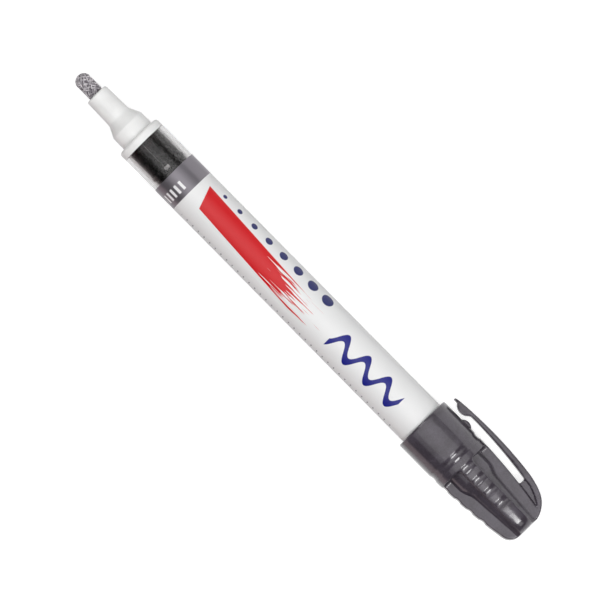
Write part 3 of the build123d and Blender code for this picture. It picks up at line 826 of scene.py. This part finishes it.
ratio = add(fibres, "ShaderNodeCombineXYZ", ratio, ratio, ratio)
fibre_round = add(fibres, "GeometryNodeCurvePrimitiveCircle", sockets={"Resolution": 4})
fibre_round = add(fibres, "GeometryNodeTransform", sockets={"Geometry": fibre_round, "Scale": ratio})
fibre = add(fibres, "GeometryNodeCurveToMesh", fibre_line, fibre_round, sockets={"Fill Caps": True})
print("nodes with those of a fibre", len(fibres.nodes))

# %% Fibres on the nib
size = add(fibres, "ShaderNodeCombineXYZ", start["Length"], start["Length"], start["Length"])
laid = add(fibres, "GeometryNodeInstanceOnPoints",
           sockets={"Points": toned, "Instance": fibre, "Rotation": lie, "Scale": size})
joined = add(fibres, "GeometryNodeJoinGeometry", start["Geometry"])
fibres.links.new(laid.outputs[0], joined.inputs[0])
whole = add(fibres, "GeometryNodeRealizeInstances", joined)
whole = add(fibres, "GeometryNodeSetMaterial", sockets={"Geometry": whole, "Material": start["Felt"]})
add(fibres, "NodeGroupOutput", whole)

nib_mesh = grown_mesh("felt_nib", nib_core, fibres, Density=9 / mm ** 2, Length=1.1 * mm,
                      Thickness=0.2 * mm, Shown=nib_low.x + 6.3 * mm, Seed=4, Felt=felt)
nib_mesh.shade_smooth()
place_piece("felt_nib", nib_mesh, "nib", "felt", "nib")

# %% [markdown]
# ## Valve spring
# The spring sits inside the valve cup and shuts the valve. A Screw modifier could wind
# it, but Geometry Nodes take its turns, radius and length as plain inputs and sweep a
# round wire along a spiral.

# %% Spring steel
# Drawn steel wire: bright metal with fine changes of gloss from the drawing die.
steel, tree, shader = finish("drawn_spring_steel", Metallic=1.0)
place = add(tree, PLACE).outputs["Object"]
drawn = add(tree, NOISE, sockets={"Vector": place, "Scale": 1 / (0.3 * mm)})
wire(tree, shader, Base_Color=add(tree, RAMP, drawn, tones=("#9a9894", "#c9c7c2")),
     Roughness=add(tree, RANGE, drawn, 0.3, 0.7, 0.22, 0.4))
print(steel.name, len(tree.nodes), "nodes")

# %% Coil
coil = new_tree("wound_coil", Turns="Float", Radius="Float", Height="Float", Wire="Float",
                Steel="Material")
start = add(coil, "NodeGroupInput").outputs
spiral = add(coil, "GeometryNodeCurveSpiral",
             sockets={"Resolution": 24, "Rotations": start["Turns"], "Start Radius": start["Radius"],
                      "End Radius": start["Radius"], "Height": start["Height"]})
laid = add(coil, "GeometryNodeTransform",
           sockets={"Geometry": spiral, "Rotation": (0.0, math.pi / 2, 0.0)})
wire_round = add(coil, "GeometryNodeCurvePrimitiveCircle",
                 sockets={"Resolution": 10, "Radius": start["Wire"]})
coil_wire = add(coil, "GeometryNodeCurveToMesh", laid, wire_round, sockets={"Fill Caps": True})
whole = add(coil, "GeometryNodeRealizeInstances", coil_wire)
whole = add(coil, "GeometryNodeSetMaterial", sockets={"Geometry": whole, "Material": start["Steel"]})
add(coil, "NodeGroupOutput", whole)
print("coil tree", len(coil.nodes), "nodes")

# %% Spring in the cup
spring_low, spring_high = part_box("valve_spring")
spring_full = spring_high.x - spring_low.x
wire_r = 0.2 * mm
spring_mesh = grown_mesh("valve_coil", bpy.data.meshes.new("empty"), coil, Turns=7.0,
                         Radius=spring_high.z - wire_r, Height=spring_full - 2 * wire_r,
                         Wire=wire_r, Steel=steel)
spring_mesh.transform(Matrix.Translation((spring_low.x + wire_r, 0, 0)))
spring_mesh.shade_smooth()
spring = place_piece("valve_coil", spring_mesh, "barrel", "spring_steel", "valve_spring")
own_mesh(spring)

# %% [markdown]
# ## Inside pieces
# The rest is out of sight until the cap comes off: the plug and the paint show through
# the clear tail. They keep the frame's shapes and get finishes of their own, which differ
# in little but their tones, gloss and the size of their patches.

# %% Finishes of the inside pieces
def mottled(name, low, high, grain, middle, metallic=0.0):
    """A finish whose colour and gloss vary over patches of about grain."""
    material, tree, shader = finish(name, Metallic=metallic)
    place = add(tree, PLACE).outputs["Object"]
    patches = add(tree, NOISE, sockets={"Vector": place, "Scale": 1 / grain, "Detail": 3.0})
    wire(tree, shader,
         Base_Color=add(tree, RAMP, patches, tones=(low, high)),
         Roughness=add(tree, RANGE, patches, 0.3, 0.7, 0.8 * middle, 1.2 * middle),
         Normal=add(tree, BUMP, sockets={"Height": patches, "Strength": 0.15, "Distance": 0.05 * mm}))
    return material


# Rubber is dull black, acetal waxy ivory, foam chalky white, polyethylene milky white;
# the paint has a silver sheen from its pigment, and the ball mirrors what is round it.
nitrile = mottled("nitrile_rubber_moulded", "#1d1d1f", "#2b2b2d", 0.4 * mm, 0.7)
acetal = mottled("natural_acetal_turned", "#e2e0d8", "#efede6", 1.0 * mm, 0.35)
foam = mottled("white_foam_washer", "#dedede", "#f2f2f2", 0.3 * mm, 0.85)
plug_plastic = mottled("natural_polyethylene_moulded", "#e4e5e6", "#f3f3f3", 2.0 * mm, 0.4)
silver_paint = mottled("silver_paint_liquid", "#85858a", "#aeaeb3", 0.3 * mm, 0.3, 0.6)
ball_steel = mottled("polished_ball_steel", "#bdbcba", "#d6d5d3", 0.6 * mm, 0.15, 1.0)
print(len(bpy.data.materials), "materials in all")

# %% Inside pieces
for node, material in (("valve_seal", nitrile), ("valve_stem", acetal), ("spring_retainer", acetal),
                       ("cap_seal", foam)):
    dress(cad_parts[node].data, material)
for node, name, body, slot, edge, material in (
        ("end_plug", "tail_plug", "barrel", "white_plastic", 0.15 * mm, plug_plastic),
        ("paint", "paint_charge", "barrel", "paint", 0.02 * mm, silver_paint),
        ("mixing_ball", "stirring_ball", "mixing_ball", "ball_steel", 0.0, ball_steel)):
    mesh = moulded(node, name, edge)
    dress(mesh, material)
    place_piece(name, mesh, body, slot, node)

# %% [markdown]
# ## Last step
# The view layer is brought up to date. The dressed marker has to stay as large as the
# frame.

# %% Bring the scene up to date
bpy.context.view_layer.update()
